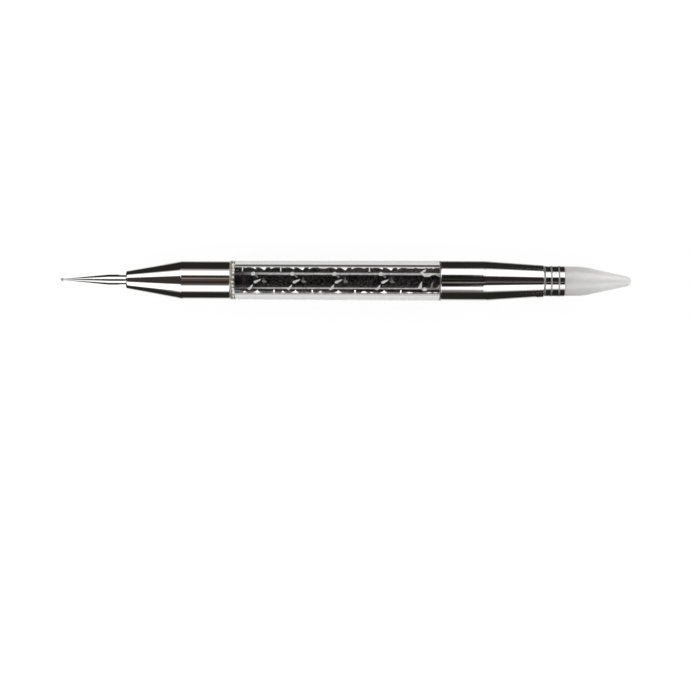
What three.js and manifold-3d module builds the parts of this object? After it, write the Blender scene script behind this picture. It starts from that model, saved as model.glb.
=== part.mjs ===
// Double-ended nail dotting tool lying on its side, about 160 mm long.
// The steel dotting needle points to -X, the soft picking tip to +X and +Z is up. Units are millimetres.
// Every turned piece is drawn as (radius, station), where station is the distance from the needle's ball.
import * as THREE from "three";
import { mergeVertices } from "three/addons/utils/BufferGeometryUtils.js";
import Module from "manifold-3d";

// Turning
const SIDES = 32;
const ARC_STEPS = 2;
const EDGE_BREAK = 0.2;

// Fits
const GLUE_GAP = 0.05;
const THREAD_GAP = 0.05;
const SOCKET_END_GAP = 0.3;
const CRYSTAL_END_GAP = 0.1;

// Dotting needle
const BALL_DIAMETER = 0.8;
const NECK_DIAMETER = 0.45;
const NECK_LENGTH = 0.6;
const NEEDLE_TAPER_LENGTH = 12;
const SHANK_DIAMETER = 2.85;
const SHANK_LENGTH = 4.9;
const TANG_LENGTH = 7;
const TANG_CHAMFER = 0.4;

// Front ferrule
const NOSE_DIAMETER = 5.1;
const NOSE_ROUND = 0.5;
const FRONT_CONE_LENGTH = 15.5;
const FRONT_COLLAR_DIAMETER = 10.75;
const FRONT_COLLAR_LENGTH = 13.6;
const TANG_BORE_LENGTH = 9.5;
const RELIEF_DIAMETER = 6;
const RELIEF_CONE_LENGTH = 2;

// Clear handle tube and its joint rings
const TUBE_FRONT_DIAMETER = 10.85;
const TUBE_REAR_DIAMETER = 11.2;
const TUBE_BORE = 7.8;
const SPIGOT_DIAMETER = 9.5;
const SPIGOT_LENGTH = 9;
const FRONT_RING_DIAMETER = 11;
const FRONT_RING_WIDTH = 1.4;
const REAR_RING_DIAMETER = 11.5;
const REAR_RING_WIDTH = 0.5;

// Stoppers that close the bore
const STOPPER_LENGTH = 3;
const STOPPER_CHAMFER = 0.3;

// Black crystals, as bars of long hexagonal section
const CRYSTAL_LENGTHS = [7.8, 10.6, 11.5, 13.1, 13.3, 12.05];
const CRYSTAL_WIDTH = 6.9;
const CRYSTAL_FACE_WIDTH = 3.8;
const CRYSTAL_HEIGHT = 6.2;
const CRYSTAL_END_BEVEL = 0.2;
const CRYSTAL_ROLL_DEGREES = 4.4;

// Cuts across a crystal's two sharp side edges, with stations from its front end. Side is +1 for the +Y edge.
// A slot is square, and a vee narrows from its mouth to its root, which lies apex past the mouth's start.
const SLOT_DEPTH = 0.75;
const EDGE_SLOTS = [
  { side: 1, start: 0, width: 0.3 },
  { side: -1, start: 8.8, width: 0.35 },
];
const VEE_ROOT_WIDTH = 0.05;
const EDGE_VEES = [
  { side: 1, start: 2.6, width: 1.35, apex: 1.3, depth: 0.65 },
  { side: 1, start: 4.95, width: 2.15, apex: 1.1, depth: 0.8 },
  { side: 1, start: 7.7, width: 1.5, apex: 0, depth: 0.65 },
  { side: -1, start: 0.4, width: 0.9, apex: 0.4, depth: 0.55 },
  { side: -1, start: 3.5, width: 1.3, apex: 0.6, depth: 0.65 },
];
const REAR_VEE = { side: -1, beforeEnd: 1.9, width: 1.4, apex: 0.65, depth: 0.5 };
const LEAST_LAND = 0.5;

// Rear ferrule
const REAR_FERRULE_DIAMETER = 11.35;
const REAR_CYLINDER_LENGTH = 12.25;
const REAR_TAPER_LENGTH = 16.6;
const REAR_END_DIAMETER = 9.1;

// Threaded bush in the rear ferrule, drawn without its thread
const BUSH_DIAMETER = 6.4;
const BUSH_LENGTH = 8;
const BUSH_CHAMFER = 0.3;

// Tip collar: stem, three crimp rings and the cup that holds the soft tip
const STEM_DIAMETER = 4;
const STEM_LENGTH = 7;
const STEM_CHAMFER = 0.5;
const STEM_RELIEF_DIAMETER = 3.2;
const STEM_RELIEF_WIDTH = 0.8;
const RING_DIAMETER = 8.65;
const RING_WIDTHS = [1.5, 1.7, 1.2];
const GROOVE_DIAMETER = 8.1;
const SEAT_GROOVE_WIDTH = 0.4;
const GROOVE_WIDTH = 0.5;
const CUP_BORE = 7.3;
const CUP_DEPTH = 4.4;

// Soft tip
const TIP_BASE_DIAMETER = 8.3;
const TIP_SHOULDER_DIAMETER = 8.15;
const TIP_BARREL_LENGTH = 5.3;
const TIP_LENGTH = 18.7;
const TIP_END_RADIUS = 1.45;
const TIP_SHOULDER_ROUND = 1.7;

// Stations along the tool
const neckEnd = BALL_DIAMETER + NECK_LENGTH;
const shankStart = neckEnd + NEEDLE_TAPER_LENGTH;
const noseFace = shankStart + SHANK_LENGTH;
const tangEnd = noseFace + TANG_LENGTH;
const frontConeEnd = noseFace + FRONT_CONE_LENGTH;
const frontRim = frontConeEnd + FRONT_COLLAR_LENGTH;
const tubeStart = frontRim + FRONT_RING_WIDTH;
const boreStart = tubeStart - SPIGOT_LENGTH;
const crystalStarts = [];
let crystalEnd = boreStart + STOPPER_LENGTH;
for (const length of CRYSTAL_LENGTHS) {
  crystalStarts.push(crystalEnd + CRYSTAL_END_GAP);
  crystalEnd += CRYSTAL_END_GAP + length;
}
const rearStopperStart = crystalEnd + CRYSTAL_END_GAP;
const boreEnd = rearStopperStart + STOPPER_LENGTH;
const tubeEnd = boreEnd - SPIGOT_LENGTH;
const rearRim = tubeEnd + REAR_RING_WIDTH;
const rearTaperStart = rearRim + REAR_CYLINDER_LENGTH;
const tipSeat = rearTaperStart + REAR_TAPER_LENGTH;

// Radii that two pieces share
const spigotRadius = SPIGOT_DIAMETER / 2;
const socketRadius = spigotRadius + GLUE_GAP;
const tangBoreRadius = SHANK_DIAMETER / 2 + GLUE_GAP;
const bushRadius = BUSH_DIAMETER / 2;
const stemRadius = STEM_DIAMETER / 2;

function sharpPath(points) {
  // A path of straight lines through (radius, station) points.
  const path = new THREE.Path();
  path.moveTo(...points[0]);
  for (const point of points.slice(1)) path.lineTo(...point);
  return path;
}

function revolve(path) {
  // Turns a (radius, station) path about the tool's axis, with a flat facet facing straight down.
  const geometry = new THREE.LatheGeometry(path.getPoints(ARC_STEPS), SIDES, Math.PI / SIDES);
  return geometry.rotateZ(-Math.PI / 2);
}

function ringPath(innerRadius, outerRadius, start, end, edge) {
  // A ring or tube with broken outer edges, as a closed profile.
  return sharpPath([
    [innerRadius, start],
    [outerRadius - edge, start],
    [outerRadius, start + edge],
    [outerRadius, end - edge],
    [outerRadius - edge, end],
    [innerRadius, end],
    [innerRadius, start],
  ]);
}

function dottingNeedle() {
  const ballRadius = BALL_DIAMETER / 2;
  const neckRadius = NECK_DIAMETER / 2;
  const shankRadius = SHANK_DIAMETER / 2;
  const neckAngle = Math.PI - Math.asin(neckRadius / ballRadius);
  const path = new THREE.Path();
  path.moveTo(0, 0);
  // The ball runs from its pole to the circle where the neck leaves it
  path.absarc(0, ballRadius, ballRadius, -Math.PI / 2, neckAngle - Math.PI / 2, false);
  path.lineTo(neckRadius, neckEnd);
  path.lineTo(shankRadius, shankStart);
  path.lineTo(shankRadius, tangEnd - TANG_CHAMFER);
  path.lineTo(shankRadius - TANG_CHAMFER, tangEnd);
  path.lineTo(0, tangEnd);
  return revolve(path);
}

function frontFerrule() {
  const noseRadius = NOSE_DIAMETER / 2;
  const collarRadius = FRONT_COLLAR_DIAMETER / 2;
  const boreEndStation = noseFace + TANG_BORE_LENGTH;
  const path = new THREE.Path();
  path.moveTo(tangBoreRadius, noseFace);
  path.lineTo(noseRadius - NOSE_ROUND, noseFace);
  path.absarc(noseRadius - NOSE_ROUND, noseFace + NOSE_ROUND, NOSE_ROUND, -Math.PI / 2, 0, false);
  path.lineTo(collarRadius, frontConeEnd);
  path.lineTo(collarRadius, frontRim - EDGE_BREAK);
  path.lineTo(collarRadius - EDGE_BREAK, frontRim);
  path.lineTo(socketRadius, frontRim);
  path.lineTo(socketRadius, boreStart - SOCKET_END_GAP);
  path.lineTo(RELIEF_DIAMETER / 2, boreStart - SOCKET_END_GAP);
  path.lineTo(RELIEF_DIAMETER / 2, boreEndStation + RELIEF_CONE_LENGTH);
  path.lineTo(tangBoreRadius, boreEndStation);
  path.lineTo(tangBoreRadius, noseFace);
  return revolve(path);
}

function handleTube() {
  // Shoulders at both ends step down to the spigots that enter the ferrules.
  const boreRadius = TUBE_BORE / 2;
  return revolve(
    sharpPath([
      [boreRadius, boreStart],
      [spigotRadius, boreStart],
      [spigotRadius, tubeStart],
      [TUBE_FRONT_DIAMETER / 2, tubeStart],
      [TUBE_REAR_DIAMETER / 2, tubeEnd],
      [spigotRadius, tubeEnd],
      [spigotRadius, boreEnd],
      [boreRadius, boreEnd],
      [boreRadius, boreStart],
    ]),
  );
}

function stopper(start) {
  const radius = TUBE_BORE / 2 - GLUE_GAP;
  return revolve(ringPath(0, radius, start, start + STOPPER_LENGTH, STOPPER_CHAMFER));
}

function toManifold(wasm, geometry) {
  const bare = geometry.clone();
  bare.deleteAttribute("normal");
  bare.deleteAttribute("uv");
  const merged = mergeVertices(bare);
  const mesh = new wasm.Mesh({
    numProp: 3,
    vertProperties: new Float32Array(merged.attributes.position.array),
    triVerts: new Uint32Array(merged.index.array),
  });
  return new wasm.Manifold(mesh);
}

function fromManifold(solid) {
  const mesh = solid.getMesh();
  const geometry = new THREE.BufferGeometry();
  geometry.setAttribute("position", new THREE.BufferAttribute(mesh.vertProperties, 3));
  geometry.setIndex(new THREE.BufferAttribute(mesh.triVerts, 1));
  geometry.computeVertexNormals();
  return geometry;
}

function edgeCutter(cut) {
  // A prism through the crystal, whose outline in plan is the cut seen from above.
  const edge = CRYSTAL_WIDTH / 2;
  const overrun = 1;
  const rootStart = cut.start + cut.apex;
  const mouthEnd = cut.start + cut.width;
  const outline = new THREE.Shape([
    new THREE.Vector2(rootStart, edge - cut.depth),
    new THREE.Vector2(rootStart + cut.rootWidth, edge - cut.depth),
    new THREE.Vector2(mouthEnd, edge),
    new THREE.Vector2(mouthEnd, edge + overrun),
    new THREE.Vector2(cut.start, edge + overrun),
    new THREE.Vector2(cut.start, edge),
  ]);
  const depth = CRYSTAL_HEIGHT + 2 * overrun;
  const prism = new THREE.ExtrudeGeometry(outline, { depth, bevelEnabled: false });
  prism.translate(0, 0, -depth / 2);
  return cut.side > 0 ? prism : prism.rotateX(Math.PI);
}

function cutsThatFit(length) {
  // A short crystal has only the cuts that leave some land before its rear end.
  const slots = EDGE_SLOTS.map((slot) => ({ ...slot, apex: 0, rootWidth: slot.width, depth: SLOT_DEPTH }));
  const vees = EDGE_VEES.map((vee) => ({ ...vee, rootWidth: VEE_ROOT_WIDTH }));
  const rearCut = { ...REAR_VEE, start: length - REAR_VEE.beforeEnd, rootWidth: VEE_ROOT_WIDTH };
  const cuts = [...slots, ...vees].filter((cut) => cut.start + cut.width < length - LEAST_LAND);
  const lastOnSide = Math.max(
    ...cuts.filter((cut) => cut.side === rearCut.side).map((cut) => cut.start + cut.width),
  );
  return rearCut.start > lastOnSide + LEAST_LAND ? [...cuts, rearCut] : cuts;
}

function crystal(wasm, length) {
  // The bar starts at station 0, with its widest edges on +Y and -Y and a flat face on top.
  const bevel = CRYSTAL_END_BEVEL;
  const section = new THREE.Shape([
    new THREE.Vector2(CRYSTAL_HEIGHT / 2, CRYSTAL_FACE_WIDTH / 2),
    new THREE.Vector2(0, CRYSTAL_WIDTH / 2),
    new THREE.Vector2(-CRYSTAL_HEIGHT / 2, CRYSTAL_FACE_WIDTH / 2),
    new THREE.Vector2(-CRYSTAL_HEIGHT / 2, -CRYSTAL_FACE_WIDTH / 2),
    new THREE.Vector2(0, -CRYSTAL_WIDTH / 2),
    new THREE.Vector2(CRYSTAL_HEIGHT / 2, -CRYSTAL_FACE_WIDTH / 2),
  ]);
  const bar = new THREE.ExtrudeGeometry(section, {
    depth: length - 2 * bevel,
    bevelThickness: bevel,
    bevelSize: bevel,
    bevelOffset: -bevel,
    bevelSegments: 1,
  });
  bar.translate(0, 0, bevel);
  bar.rotateY(Math.PI / 2);
  let solid = toManifold(wasm, bar);
  for (const cut of cutsThatFit(length)) {
    solid = solid.subtract(toManifold(wasm, edgeCutter(cut)));
  }
  return fromManifold(solid);
}

function rearFerrule() {
  const cylinderRadius = REAR_FERRULE_DIAMETER / 2;
  const endRadius = REAR_END_DIAMETER / 2;
  const bushBoreRadius = bushRadius + GLUE_GAP;
  const socketFloor = boreEnd + SOCKET_END_GAP;
  const path = new THREE.Path();
  path.moveTo(socketRadius, rearRim);
  path.lineTo(cylinderRadius - EDGE_BREAK, rearRim);
  path.lineTo(cylinderRadius, rearRim + EDGE_BREAK);
  path.lineTo(cylinderRadius, rearTaperStart);
  path.lineTo(endRadius, tipSeat - EDGE_BREAK);
  path.absarc(endRadius - EDGE_BREAK, tipSeat - EDGE_BREAK, EDGE_BREAK, 0, Math.PI / 2, false);
  path.lineTo(bushBoreRadius, tipSeat);
  path.lineTo(bushBoreRadius, socketFloor);
  path.lineTo(socketRadius, socketFloor);
  path.lineTo(socketRadius, rearRim);
  return revolve(path);
}

function stemBush() {
  const holeRadius = stemRadius + THREAD_GAP;
  const start = tipSeat - BUSH_LENGTH;
  return revolve(
    sharpPath([
      [holeRadius, start],
      [bushRadius - BUSH_CHAMFER, start],
      [bushRadius, start + BUSH_CHAMFER],
      [bushRadius, tipSeat],
      [holeRadius + BUSH_CHAMFER, tipSeat],
      [holeRadius, tipSeat - BUSH_CHAMFER],
      [holeRadius, start],
    ]),
  );
}

function tipCollar() {
  const ringRadius = RING_DIAMETER / 2;
  const grooveRadius = GROOVE_DIAMETER / 2;
  const reliefRadius = STEM_RELIEF_DIAMETER / 2;
  const reliefStep = stemRadius - reliefRadius;
  const stemEnd = tipSeat - STEM_LENGTH;
  const path = new THREE.Path();
  path.moveTo(0, stemEnd);
  path.lineTo(stemRadius - STEM_CHAMFER, stemEnd);
  path.lineTo(stemRadius, stemEnd + STEM_CHAMFER);
  path.lineTo(stemRadius, tipSeat - STEM_RELIEF_WIDTH - reliefStep);
  path.lineTo(reliefRadius, tipSeat - STEM_RELIEF_WIDTH);
  path.lineTo(reliefRadius, tipSeat);
  path.lineTo(grooveRadius, tipSeat);
  let station = tipSeat + SEAT_GROOVE_WIDTH;
  for (const [i, width] of RING_WIDTHS.entries()) {
    if (i > 0) station += GROOVE_WIDTH;
    path.lineTo(grooveRadius, station);
    path.lineTo(ringRadius - EDGE_BREAK, station);
    path.absarc(ringRadius - EDGE_BREAK, station + EDGE_BREAK, EDGE_BREAK, -Math.PI / 2, 0, false);
    station += width;
    path.absarc(ringRadius - EDGE_BREAK, station - EDGE_BREAK, EDGE_BREAK, 0, Math.PI / 2, false);
    if (i < RING_WIDTHS.length - 1) path.lineTo(grooveRadius, station);
  }
  path.lineTo(CUP_BORE / 2, station);
  path.lineTo(CUP_BORE / 2, station - CUP_DEPTH);
  path.lineTo(0, station - CUP_DEPTH);
  return revolve(path);
}

function tipBaseStation() {
  const rings = RING_WIDTHS.reduce((sum, width) => sum + width, 0);
  return tipSeat + SEAT_GROOVE_WIDTH + rings + GROOVE_WIDTH * (RING_WIDTHS.length - 1);
}

function softTip() {
  // A root in the collar's cup, a short barrel, a rounded shoulder and a cone that meets the round end.
  const base = tipBaseStation();
  const end = base + TIP_LENGTH;
  const rootRadius = CUP_BORE / 2 - GLUE_GAP;
  const rootStart = base - CUP_DEPTH + GLUE_GAP;
  const shoulder = new THREE.Vector2(TIP_SHOULDER_DIAMETER / 2, base + TIP_BARREL_LENGTH);
  const endCentre = new THREE.Vector2(0, end - TIP_END_RADIUS);
  const reach = shoulder.distanceTo(endCentre);
  const coneAngle =
    Math.atan2(shoulder.x, endCentre.y - shoulder.y) - Math.asin(TIP_END_RADIUS / reach);
  const barrelLean = (TIP_BASE_DIAMETER - TIP_SHOULDER_DIAMETER) / 2 / TIP_BARREL_LENGTH;
  const path = new THREE.Path();
  path.moveTo(0, rootStart);
  path.lineTo(rootRadius, rootStart);
  path.lineTo(rootRadius, base);
  path.lineTo(TIP_BASE_DIAMETER / 2, base);
  path.lineTo(shoulder.x + barrelLean * TIP_SHOULDER_ROUND, shoulder.y - TIP_SHOULDER_ROUND);
  path.quadraticCurveTo(
    shoulder.x,
    shoulder.y,
    shoulder.x - TIP_SHOULDER_ROUND * Math.tan(coneAngle),
    shoulder.y + TIP_SHOULDER_ROUND,
  );
  path.absarc(0, endCentre.y, TIP_END_RADIUS, coneAngle, Math.PI / 2, false);
  return revolve(path);
}

const chrome = new THREE.MeshStandardMaterial({ color: 0xc9c9c7, metalness: 1, roughness: 0.08 });
const steel = new THREE.MeshStandardMaterial({ color: 0xb9b9b7, metalness: 1, roughness: 0.15 });
const brass = new THREE.MeshStandardMaterial({ color: 0xb8944a, metalness: 1, roughness: 0.3 });
const acrylic = new THREE.MeshStandardMaterial({
  color: 0xf2f2ee,
  roughness: 0.05,
  transparent: true,
  opacity: 0.3,
});
const blackCrystal = new THREE.MeshStandardMaterial({ color: 0x0d0c0e, roughness: 0.08 });
const paleRing = new THREE.MeshStandardMaterial({ color: 0xbdb8a8, roughness: 0.6 });
const greyRing = new THREE.MeshStandardMaterial({ color: 0x7c7c7a, roughness: 0.5 });
const whitePlastic = new THREE.MeshStandardMaterial({ color: 0xd8d8d4, roughness: 0.5 });
const milkySilicone = new THREE.MeshStandardMaterial({ color: 0xd2d1cf, roughness: 0.45 });

const wasm = await Module();
wasm.setup();

const tool = new THREE.Group();

function add(parent, name, geometry, material) {
  const mesh = new THREE.Mesh(geometry, material);
  mesh.name = name;
  parent.add(mesh);
  return mesh;
}

add(tool, "dotting_needle", dottingNeedle(), steel);
add(tool, "front_ferrule", frontFerrule(), chrome);
add(
  tool,
  "front_joint_ring",
  revolve(ringPath(socketRadius, FRONT_RING_DIAMETER / 2, frontRim, tubeStart, EDGE_BREAK)),
  paleRing,
);
add(tool, "handle_tube", handleTube(), acrylic);
add(tool, "front_stopper", stopper(boreStart), whitePlastic);
// The whole row of crystals has rolled a little in the bore
CRYSTAL_LENGTHS.forEach((length, i) => {
  const bar = add(tool, `crystal_${i + 1}`, crystal(wasm, length), blackCrystal);
  bar.position.x = crystalStarts[i];
  bar.rotation.x = THREE.MathUtils.degToRad(CRYSTAL_ROLL_DEGREES);
});
add(tool, "rear_stopper", stopper(rearStopperStart), whitePlastic);
add(
  tool,
  "rear_joint_ring",
  revolve(ringPath(socketRadius, REAR_RING_DIAMETER / 2, tubeEnd, rearRim, EDGE_BREAK / 2)),
  greyRing,
);
add(tool, "rear_ferrule", rearFerrule(), chrome);
add(tool, "stem_bush", stemBush(), brass);

// The tip assembly unscrews from the bush and lifts out along +X
const tipAssembly = new THREE.Group();
add(tipAssembly, "tip_collar", tipCollar(), chrome);
add(tipAssembly, "soft_tip", softTip(), milkySilicone);
tool.add(tipAssembly);

// The origin is midway along the tool, on the surface that its widest ring rests on
const overallLength = tipBaseStation() + TIP_LENGTH;
const widestRadius = Math.max(FRONT_RING_DIAMETER, REAR_RING_DIAMETER, REAR_FERRULE_DIAMETER) / 2;
tool.position.set(-overallLength / 2, 0, widestRadius * Math.cos(Math.PI / SIDES));

export default tool;
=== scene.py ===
import math

import bmesh
import bpy
from mathutils import Matrix, Vector, noise

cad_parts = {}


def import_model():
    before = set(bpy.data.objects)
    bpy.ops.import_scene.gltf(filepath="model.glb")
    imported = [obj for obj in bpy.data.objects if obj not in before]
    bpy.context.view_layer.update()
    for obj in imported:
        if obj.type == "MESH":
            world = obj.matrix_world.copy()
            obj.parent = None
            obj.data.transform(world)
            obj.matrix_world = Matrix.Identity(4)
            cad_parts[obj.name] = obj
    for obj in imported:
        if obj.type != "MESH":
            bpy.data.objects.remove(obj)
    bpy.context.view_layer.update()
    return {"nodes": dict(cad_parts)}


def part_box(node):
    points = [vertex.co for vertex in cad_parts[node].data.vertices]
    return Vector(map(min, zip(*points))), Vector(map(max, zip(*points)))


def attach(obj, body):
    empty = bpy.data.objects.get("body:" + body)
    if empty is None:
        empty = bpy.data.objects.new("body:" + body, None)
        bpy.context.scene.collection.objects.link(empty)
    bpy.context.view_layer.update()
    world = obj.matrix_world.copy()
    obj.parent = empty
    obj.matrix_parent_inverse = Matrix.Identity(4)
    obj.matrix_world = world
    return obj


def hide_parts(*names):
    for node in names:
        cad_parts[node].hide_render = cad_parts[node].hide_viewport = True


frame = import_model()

# Lengths below are millimetres, as in the drawing of the tool; meshes are made in metres
MM = 0.001
AXIS_HEIGHT = sum(corner.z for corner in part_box("handle_tube")) / 2 / MM


def span(node):
    """The first and last station of a CAD node along the tool, in millimetres."""
    low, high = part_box(node)
    return low.x / MM, high.x / MM


def radius_of(node):
    """The largest radius of a round CAD node, in millimetres."""
    low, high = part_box(node)
    return (high.y - low.y) / 2 / MM


def added(name, data):
    """A new object of the scene."""
    made = bpy.data.objects.new(name, data)
    bpy.context.scene.collection.objects.link(made)
    return made


# Materials

def fill(made, node, values, links):
    """Puts plain values into some of a node's sockets and links into others."""
    for socket, value in values.items():
        node.inputs[socket].default_value = value
    for socket, source in links.items():
        made.node_tree.links.new(source, node.inputs[socket])


def new_node(made, kind, values={}, links={}):
    node = made.node_tree.nodes.new(kind)
    fill(made, node, values, links)
    return node


def material(name):
    made = bpy.data.materials.new(name)
    made.use_nodes = True
    return made


def shaded(made, values, links):
    """Puts values and links into the material's Principled shader."""
    fill(made, made.node_tree.nodes["Principled BSDF"], values, links)
    return made


def object_noise(made, scale, detail=4.0, roughness=0.5):
    """Noise over object coordinates; scale is one number for each axis, in cells per metre."""
    place = new_node(made, "ShaderNodeTexCoord").outputs["Object"]
    stretch = new_node(made, "ShaderNodeMapping", {"Scale": scale}, {"Vector": place})
    values = {"Scale": 1.0, "Detail": detail, "Roughness": roughness}
    texture = new_node(made, "ShaderNodeTexNoise", values, {"Vector": stretch.outputs["Vector"]})
    return texture.outputs["Fac"]


def ranged(made, source, low, high, start=0.35, end=0.65):
    """Maps noise from start..end to low..high."""
    values = {"From Min": start, "From Max": end, "To Min": low, "To Max": high}
    return new_node(made, "ShaderNodeMapRange", values, {"Value": source}).outputs["Result"]


def tinted(made, source, dark, light, start=0.35, end=0.65):
    """A colour ramp from dark to light driven by noise."""
    node = new_node(made, "ShaderNodeValToRGB", {}, {"Fac": source})
    for element, place, colour in zip(node.color_ramp.elements, (start, end), (dark, light)):
        element.position = place
        element.color = (*colour, 1)
    return node.outputs["Color"]


def blended(made, share, first, second):
    """A mix of two colours; share 0 is the first."""
    node = new_node(made, "ShaderNodeMix")
    node.data_type = "RGBA"
    fill(made, node, {}, {0: share, 6: first, 7: second})
    return node.outputs[2]


def along_tool(made, start_mm, end_mm, low=0.0, high=1.0):
    """Runs from low to high between two places along the tool, measured from its middle."""
    place = new_node(made, "ShaderNodeTexCoord").outputs["Object"]
    split = new_node(made, "ShaderNodeSeparateXYZ", {}, {0: place})
    return ranged(made, split.outputs["X"], low, high, start_mm * MM, end_mm * MM)


def bumped(made, source, strength, distance_mm):
    """A bump that follows noise."""
    values = {"Strength": strength, "Distance": distance_mm * MM}
    return new_node(made, "ShaderNodeBump", values, {"Height": source}).outputs["Normal"]


def turned_metal(name, dark, light, rough_low, rough_high, line_depth_mm):
    """Polished metal with fine turning lines round the tool's axis and faint smudges."""
    made = material(name)
    smudges = object_noise(made, (90, 140, 140), 3)
    lines = object_noise(made, (9000, 60, 60), 2)
    return shaded(made, {"Metallic": 1.0}, {
        "Base Color": tinted(made, smudges, dark, light),
        "Roughness": ranged(made, smudges, rough_low, rough_high),
        "Normal": bumped(made, lines, 0.35, line_depth_mm),
    })


def clear_acrylic():
    """Clear plastic with a faint haze."""
    made = material("clear_acrylic")
    haze = object_noise(made, (300, 900, 900), 4)
    values = {"Transmission Weight": 1.0, "IOR": 1.49, "Specular Tint": (0.25, 0.25, 0.25, 1)}
    return shaded(made, values, {
        "Base Color": tinted(made, haze, (0.965, 0.965, 0.958), (0.99, 0.99, 0.985)),
        "Roughness": ranged(made, haze, 0.0, 0.03),
    })


def black_crystal(name, gloss, rough):
    """Black with a smoky grain, and purple smudges towards the front of the tube."""
    made = material(name)
    grain = object_noise(made, (2400, 2800, 2800), 1.5, 0.6)
    smoke = object_noise(made, (330, 620, 620), 4, 0.6)
    dark = tinted(made, grain, (0.0012, 0.0011, 0.0011), (0.062, 0.058, 0.057), 0.43, 0.66)
    light = tinted(made, grain, (0.009, 0.008, 0.0085), (0.115, 0.107, 0.108), 0.4, 0.68)
    purple = tinted(made, smoke, (0.008, 0.006, 0.008), (0.06, 0.045, 0.055), 0.42, 0.7)
    body = blended(made, ranged(made, smoke, 0, 1, 0.48, 0.62), dark, light)
    return shaded(made, {"IOR": 1.5, "Specular IOR Level": gloss}, {
        "Base Color": blended(made, along_tool(made, -23, -30, 0, 0.8), body, purple),
        "Roughness": ranged(made, smoke, rough, rough + 0.14),
        "Normal": bumped(made, grain, 0.2, 0.006),
    })


def painted_highlight_finish(name, dark, light, rough, metallic, painted_glow=0.0, dim_at_front=False, spread=0.15):
    """Near-white finish on a crystal's edges and cuts, as painted highlights, its emission a
    painted glow. A finish that dims at the front is dull and purplish towards the front of the
    tube, and a small spread makes it mottled."""
    made = material(name)
    crinkle = object_noise(made, (1500, 2600, 2600), 3)
    colour = tinted(made, crinkle, dark, light, 0.5 - spread, 0.5 + spread)
    # Painted highlight that fades to a dull purplish finish towards the front of the tube
    if dim_at_front:
        dull = tinted(made, crinkle, (0.05, 0.04, 0.05), (0.13, 0.11, 0.13))
        colour = blended(made, along_tool(made, -21.5, -29), colour, dull)
    # The emission is a painted glow
    return shaded(made, {"Metallic": metallic, "Emission Strength": painted_glow}, {
        "Base Color": colour,
        "Emission Color": colour,
        "Roughness": ranged(made, crinkle, rough, rough + 0.15),
        "Normal": bumped(made, crinkle, 0.3, 0.02),
    })


def cast_resin():
    """Cream lumps in a darker resin; the ring's lump attribute says where they are."""
    made = material("pale_ring_resin")
    lump = new_node(made, "ShaderNodeAttribute")
    lump.attribute_name = "lump"
    specks = object_noise(made, (2600, 2600, 2600), 3, 0.6)
    cream = tinted(made, specks, (0.36, 0.34, 0.29), (0.8, 0.78, 0.73), 0.36, 0.6)
    resin = tinted(made, specks, (0.03, 0.027, 0.018), (0.14, 0.13, 0.095), 0.36, 0.64)
    share = ranged(made, lump.outputs["Fac"], 0, 1, 0.0, 0.7)
    return shaded(made, {}, {
        "Base Color": blended(made, share, resin, cream),
        "Roughness": ranged(made, specks, 0.55, 0.35),
        "Normal": bumped(made, specks, 0.4, 0.04),
    })


def plain_plastic(name, dark, light, rough=0.45, ior=1.5):
    """Moulded plastic with a fine grain."""
    made = material(name)
    grain = object_noise(made, (1500, 1500, 1500), 4)
    return shaded(made, {"Roughness": rough, "IOR": ior}, {
        "Base Color": tinted(made, grain, dark, light),
        "Normal": bumped(made, grain, 0.15, 0.01),
    })


def milky_silicone():
    """Cloudy soft plastic, darker where it is held and lighter towards its point."""
    made = material("milky_silicone")
    cloud = object_noise(made, (130, 420, 420), 3)
    near = tinted(made, cloud, (0.49, 0.485, 0.48), (0.56, 0.555, 0.55), 0.3, 0.7)
    far = tinted(made, cloud, (0.635, 0.63, 0.62), (0.695, 0.69, 0.685), 0.3, 0.7)
    grain = object_noise(made, (2600, 2600, 2600), 2)
    return shaded(made, {
        "Subsurface Weight": 0.6, "Subsurface Radius": (1.0, 0.95, 0.9),
        "Subsurface Scale": 0.002, "Specular IOR Level": 0.8,
    }, {
        "Base Color": blended(made, along_tool(made, 63, 72), near, far),
        "Roughness": ranged(made, cloud, 0.28, 0.36),
        "Normal": bumped(made, grain, 0.12, 0.015),
    })


CHROME = turned_metal("chrome_plate", (0.8, 0.795, 0.785), (0.86, 0.86, 0.855), 0.04, 0.1, 0.0015)
STEEL = turned_metal("polished_steel", (0.7, 0.7, 0.69), (0.8, 0.8, 0.79), 0.06, 0.14, 0.002)
BALL_STEEL = turned_metal("ball_steel", (0.5, 0.5, 0.49), (0.6, 0.6, 0.59), 0.3, 0.36, 0.002)
GROOVE_METAL = turned_metal(
    "groove_metal", (0.44, 0.44, 0.43), (0.54, 0.54, 0.53), 0.55, 0.65, 0.002)
BRASS = turned_metal("turned_brass", (0.62, 0.46, 0.2), (0.78, 0.6, 0.3), 0.2, 0.35, 0.004)
ACRYLIC = clear_acrylic()
CRYSTAL = black_crystal("black_crystal", 0.07, 0.08)
CRYSTAL_SIDE = black_crystal("black_crystal_side", 0.0, 0.3)
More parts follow.
